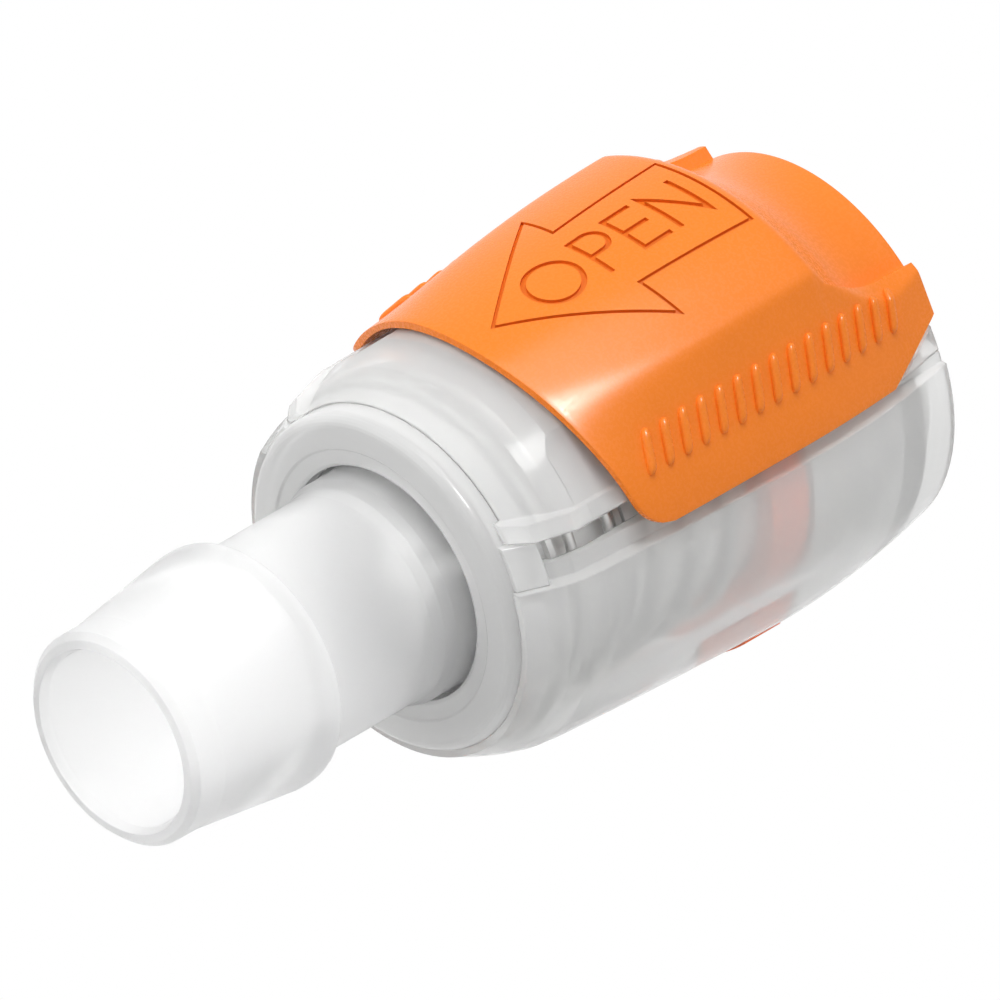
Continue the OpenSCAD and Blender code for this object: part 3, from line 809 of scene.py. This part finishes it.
def wire_coil(node, wire_r, turns, start, material):
    """A round wire wound along X, which fills the box of the CAD node that it replaces"""
    low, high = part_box(node)
    x0, x1 = low[0] / MM + wire_r, high[0] / MM - wire_r
    mean_r = high[2] / MM - wire_r
    steps_per_turn, sides = 64, 14
    steps = round(turns * steps_per_turn)
    pitch = math.atan((x1 - x0) / (turns * 2 * math.pi * mean_r))
    bm = bmesh.new()
    rings = []
    for i in range(steps + 1):
        a = start + 2 * math.pi * turns * i / steps
        x = x0 + (x1 - x0) * i / steps
        ring = []
        for j in range(sides):
            w = 2 * math.pi * j / sides
            r = mean_r + wire_r * math.cos(w)
            lean = wire_r * math.sin(w)
            ring.append(bm.verts.new((
                x + lean * math.cos(pitch),
                r * math.sin(a) - lean * math.sin(pitch) * math.cos(a),
                r * math.cos(a) + lean * math.sin(pitch) * math.sin(a),
            )))
        rings.append(ring)
    for a, b in zip(rings, rings[1:]):
        for j in range(sides):
            k = (j + 1) % sides
            bm.faces.new((a[j], a[k], b[k], b[j]))
    bm.faces.new(rings[0])
    bm.faces.new(list(reversed(rings[-1])))
    return finish_mesh(bm, node + "_wire", material)


def press(piece):
    """Gives a coil a mesh of its own"""
    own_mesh(piece)


class COUPLING_OT_metal(bpy.types.Operator):
    """Wind the two springs and dress the clip in steel"""

    bl_idname = "coupling.metal"
    bl_label = "Springs and clip"

    def execute(self, context):
        springs = context.scene.spring_sizes
        steel = spring_steel("wire_steel")
        dress("collet_clip", steel)
        for node, joint, wire, turns, start in (
            ("latch_spring", "latch_slide", springs.latch_wire, springs.latch_turns, springs.latch_start),
            ("poppet_spring", "poppet_slide", springs.poppet_wire, springs.poppet_turns, 0.0),
        ):
            coil = wire_coil(node, wire / MM, turns, start, steel)
            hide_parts(node)
            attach(coil, HOUSING)
            press(coil)
        return {"FINISHED"}


class COUPLING_OT_seals(bpy.types.Operator):
    """Dress the O-rings in black rubber"""

    bl_idname = "coupling.seals"
    bl_label = "Seals"

    def execute(self, context):
        rubber = seal_rubber("seal_black")
        for node in ("barb_seal", "poppet_seal", "socket_seal"):
            dress(node, rubber)
        return {"FINISHED"}


# The studio

def white_where_seen(tree, lit, seen):
    """Shows one shader to the eye, in reflections and through clear plastic, and lights with another"""
    rays = tree.nodes.new("ShaderNodeLightPath")
    first = tree.nodes.new("ShaderNodeMath")
    first.operation = "MAXIMUM"
    both = tree.nodes.new("ShaderNodeMath")
    both.operation = "MAXIMUM"
    tree.links.new(rays.outputs["Is Camera Ray"], first.inputs[0])
    tree.links.new(rays.outputs["Is Glossy Ray"], first.inputs[1])
    tree.links.new(first.outputs[0], both.inputs[0])
    tree.links.new(rays.outputs["Is Transmission Ray"], both.inputs[1])
    mix = tree.nodes.new("ShaderNodeMixShader")
    tree.links.new(both.outputs[0], mix.inputs["Fac"])
    tree.links.new(lit, mix.inputs[1])
    tree.links.new(seen, mix.inputs[2])
    return mix.outputs[0]


def studio_world(strength):
    """White all round, and a plain level of light on the object"""
    world = bpy.data.worlds.new("studio_room")
    world.use_nodes = True
    tree = world.node_tree
    tree.nodes.clear()
    room = tree.nodes.new("ShaderNodeBackground")
    room.inputs["Strength"].default_value = strength
    seen = tree.nodes.new("ShaderNodeBackground")
    seen.inputs["Strength"].default_value = 1.0
    out = tree.nodes.new("ShaderNodeOutputWorld")
    made = white_where_seen(tree, room.outputs[0], seen.outputs[0])
    for node in (room, seen):
        node.inputs["Color"].default_value = (1, 1, 1, 1)
    tree.links.new(made, out.inputs["Surface"])
    bpy.context.scene.world = world


def studio_floor(height):
    """A pale floor well below the part, which a hose holds up"""
    reach = 1500
    pale = (0.7, 0.7, 0.7, 1)
    bm = bmesh.new()
    bmesh.ops.create_grid(bm, x_segments=1, y_segments=1, size=reach)
    for vertex in bm.verts:
        vertex.co.z = height / MM
    material = bpy.data.materials.new("studio_floor")
    material.use_nodes = True
    tree = material.node_tree
    shader = tree.nodes["Principled BSDF"]
    shader.inputs["Base Color"].default_value = pale
    shader.inputs["Roughness"].default_value = 0.9
    shader.inputs["Specular IOR Level"].default_value = 0.0
    glow = tree.nodes.new("ShaderNodeEmission")
    glow.inputs["Strength"].default_value = 1.0
    out = tree.nodes["Material Output"]
    tree.links.new(white_where_seen(tree, shader.outputs[0], glow.outputs[0]), out.inputs["Surface"])
    floor = finish_mesh(bm, "studio_floor", material)


def lamp(name, direction, strength, spread_degrees):
    """A distant light that shines from a direction, the softer the wider its spread"""
    data = bpy.data.lights.new(name, "SUN")
    data.energy = strength
    data.angle = math.radians(spread_degrees)
    light = bpy.data.objects.new(name, data)
    bpy.context.scene.collection.objects.link(light)
    light.rotation_mode = "QUATERNION"
    light.rotation_quaternion = Vector(direction).to_track_quat("Z", "Y")
    return light


class COUPLING_OT_stage(bpy.types.Operator):
    """Set up the camera, the lights, the room and the floor"""

    bl_idname = "coupling.stage"
    bl_label = "Studio"

    def execute(self, context):
        scene, studio = context.scene, context.scene.studio_settings
        scene.view_settings.view_transform = "Standard"
        camera_distance, floor_height = 0.5, -0.075
        a, e = studio.azimuth, studio.elevation
        back = Vector((math.sin(a) * math.cos(e), -math.cos(a) * math.cos(e), math.sin(e)))
        right = Vector((math.cos(a), math.sin(a), 0))
        up = back.cross(right)
        data = bpy.data.cameras.new("studio_camera")
        data.type = "ORTHO"
        data.ortho_scale = studio.picture_width
        data.clip_start, data.clip_end = 0.01, 5.0
        camera = bpy.data.objects.new("studio_camera", data)
        scene.collection.objects.link(camera)
        camera.rotation_mode = "QUATERNION"
        camera.rotation_quaternion = (-back).to_track_quat("-Z", "Y")
        aim = right * studio.aim_right + up * studio.aim_up
        camera.location = aim + back * camera_distance
        scene.camera = camera
        studio_world(studio.fill_strength)
        studio_floor(floor_height)
        lamp("key_light", (0.15, 0.0, 1.0), studio.key_strength, spread_degrees=35)
        lamp("front_light", (-0.8, 0.5, 0.6), studio.front_strength, spread_degrees=50)
        soft_box = lamp("soft_box", (0.1, -0.42, 0.9), studio.gloss_strength, spread_degrees=16)
        soft_box.visible_diffuse = False
        return {"FINISHED"}


STEPS = (
    COUPLING_OT_stage, COUPLING_OT_barb, COUPLING_OT_shells, COUPLING_OT_latch, COUPLING_OT_lock,
    COUPLING_OT_socket, COUPLING_OT_valve, COUPLING_OT_metal, COUPLING_OT_seals,
)


class COUPLING_PT_panel(bpy.types.Panel):
    """Lists the coupling's pieces and its settings"""

    bl_idname = "COUPLING_PT_panel"
    bl_label = "Quick coupling"
    bl_space_type = "VIEW_3D"
    bl_region_type = "UI"
    bl_category = "Coupling"

    def draw(self, context):
        column = self.layout.column()
        for step in STEPS:
            column.operator(step.bl_idname)
        for group in ("latch_sizes", "spring_sizes", "coupling_colours", "studio_settings"):
            settings = getattr(context.scene, group)
            for name in settings.__annotations__:
                column.prop(settings, name)


CLASSES = (LatchSizes, SpringSizes, CouplingColours, StudioSettings, *STEPS, COUPLING_PT_panel)


def register():
    for item in CLASSES:
        bpy.utils.register_class(item)
    bpy.types.Scene.latch_sizes = PointerProperty(type=LatchSizes)
    bpy.types.Scene.spring_sizes = PointerProperty(type=SpringSizes)
    bpy.types.Scene.coupling_colours = PointerProperty(type=CouplingColours)
    bpy.types.Scene.studio_settings = PointerProperty(type=StudioSettings)


def unregister():
    del bpy.types.Scene.studio_settings
    del bpy.types.Scene.coupling_colours
    del bpy.types.Scene.spring_sizes
    del bpy.types.Scene.latch_sizes
    for item in reversed(CLASSES):
        bpy.utils.unregister_class(item)


def main():
    register()
    for step in STEPS:
        group, name = step.bl_idname.split(".")
        getattr(getattr(bpy.ops, group), name)()


if __name__ == "__main__":
    main()
